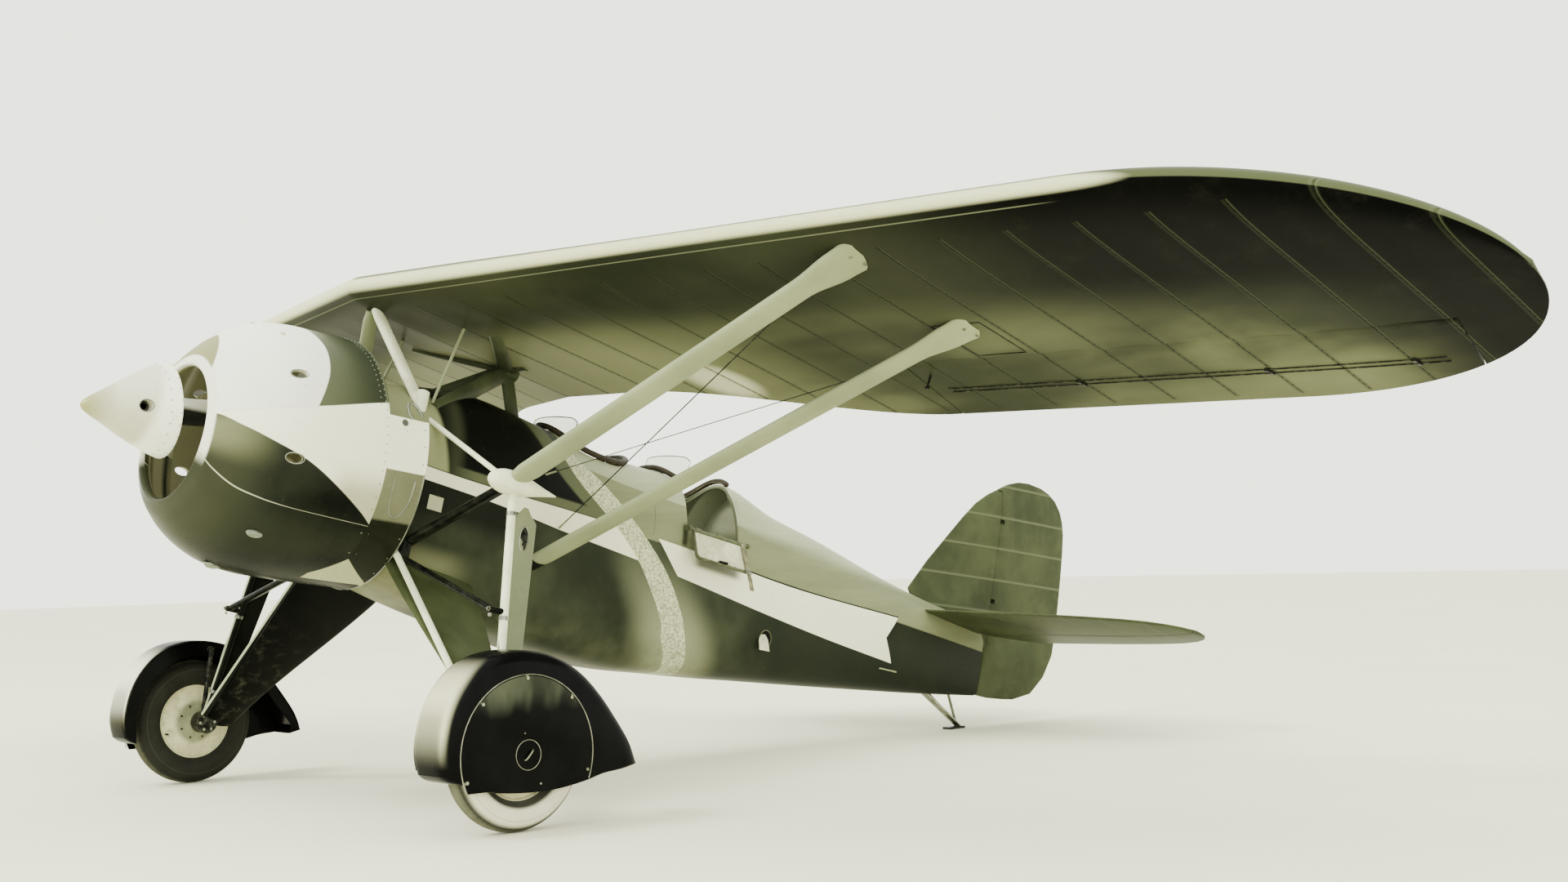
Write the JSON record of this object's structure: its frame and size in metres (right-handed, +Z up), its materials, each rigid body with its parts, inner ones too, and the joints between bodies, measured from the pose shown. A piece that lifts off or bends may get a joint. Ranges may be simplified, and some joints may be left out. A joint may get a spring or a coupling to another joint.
{
  "type": "parasol monoplane",
  "caption": "Two-seat parasol-wing light aircraft with a cowled radial engine, strut-braced wing, spatted main wheels and a tail skid.",
  "frame": {"origin": "on the ground under the middle of the whole bounding box, as the aircraft stands parked", "axes": "+X towards the port wing tip, +Y towards the tail, +Z up"},
  "size_m": [10.6698, 7.2548, 2.715],
  "materials": {
    "painted_silver": "satin silver paint, dulled",
    "painted_green": "semi-gloss olive paint",
    "painted_dark": "dark semi-gloss paint",
    "painted_strut": "semi-gloss light olive paint",
    "doped_fabric": "doped fabric, matt olive",
    "gloss_black": "glossy black paint",
    "cream_disc": "cream paint, dusty",
    "tyre": "dusty rubber",
    "engine_metal": "dark finned metal",
    "steel": "worn steel",
    "leather": "worn dark leather",
    "glass": "clear sheet"
  },
  "bodies": {
    "airframe": {"cowl_ring": "painted_silver", "cowl_skirt": "painted_silver", "engine": "engine_metal", "fuselage_front": "painted_green", "fuselage_cockpits": "painted_green", "fuselage_rear": "painted_green", "wing_centre": "doped_fabric", "cabane_rear": "painted_dark", "wing_port": "doped_fabric", "cabane_front_port": "painted_strut", "lift_strut_front_port": "painted_strut", "lift_strut_rear_port": "painted_strut", "gear_leg_port": "painted_strut", "gear_frame_port": "painted_strut", "axle_leg_port": "painted_dark", "spat_port": "gloss_black", "stabiliser_port": "doped_fabric", "wing_starboard": "doped_fabric", "cabane_front_starboard": "painted_strut", "lift_strut_front_starboard": "painted_strut", "lift_strut_rear_starboard": "painted_strut", "gear_leg_starboard": "painted_strut", "gear_frame_starboard": "painted_strut", "axle_leg_starboard": "painted_dark", "spat_starboard": "gloss_black", "stabiliser_starboard": "doped_fabric", "fin": "doped_fabric", "tail_skid": "steel", "seat_front": "leather", "seat_rear": "leather", "panel_front": "painted_dark", "panel_rear": "painted_dark", "windscreen_front": "glass", "windscreen_rear": "glass", "coaming_front": "leather", "coaming_rear": "leather"},
    "propeller": {"spinner": "painted_silver", "propeller_hub": "steel"},
    "wheel_port": {"tyre_port": "tyre", "wheel_port": "cream_disc"},
    "wheel_starboard": {"tyre_starboard": "tyre", "wheel_starboard": "cream_disc"},
    "rudder": {"rudder": "doped_fabric"},
    "elevator": {"elevator": "doped_fabric"},
    "aileron_port": {"aileron_port": "doped_fabric"},
    "aileron_starboard": {"aileron_starboard": "doped_fabric"},
    "cockpit_door": {"cockpit_door": "painted_green"}
  },
  "joints": [
    {"name": "propeller_spin", "type": "hinge", "parent": "airframe", "child": "propeller", "pos_m": [0, -3.3805, 1.96768], "axis": [0, -0.9995, 0.0305], "continuous": true},
    {"name": "wheel_port_spin", "type": "hinge", "parent": "airframe", "child": "wheel_port", "pos_m": [1.59, -2.33956, 0.345], "axis": [1, 0, 0], "continuous": true},
    {"name": "wheel_starboard_spin", "type": "hinge", "parent": "airframe", "child": "wheel_starboard", "pos_m": [-1.59, -2.33956, 0.345], "axis": [1, 0, 0], "continuous": true},
    {"name": "rudder_hinge", "type": "hinge", "parent": "airframe", "child": "rudder", "pos_m": [0, 2.72897, 0.63626], "axis": [0, 0.2419, 0.9703], "range_deg": [-25, 25]},
    {"name": "elevator_hinge", "type": "hinge", "parent": "airframe", "child": "elevator", "pos_m": [0, 2.6465, 0.65682], "axis": [1, 0, 0], "range_deg": [-25, 25]},
    {"name": "aileron_port_hinge", "type": "hinge", "parent": "airframe", "child": "aileron_port", "pos_m": [2.3, -0.46638, 2.17815], "axis": [0.9806, 0.1951, -0.02], "range_deg": [-20, 20]},
    {"name": "aileron_starboard_hinge", "type": "hinge", "parent": "airframe", "child": "aileron_starboard", "pos_m": [-2.3, -0.46638, 2.17815], "axis": [0.9806, -0.1951, 0.02], "range_deg": [-20, 20]},
    {"name": "cockpit_door_hinge", "type": "hinge", "parent": "airframe", "child": "cockpit_door", "pos_m": [0.4027, -0.06042, 1.312], "axis": [0, 0.9703, -0.2419], "range_deg": [-165, 0]}
  ],
  "couplings": [
    {"joint": "aileron_starboard_hinge", "follows": "aileron_port_hinge", "ratio": -1}
  ]
}
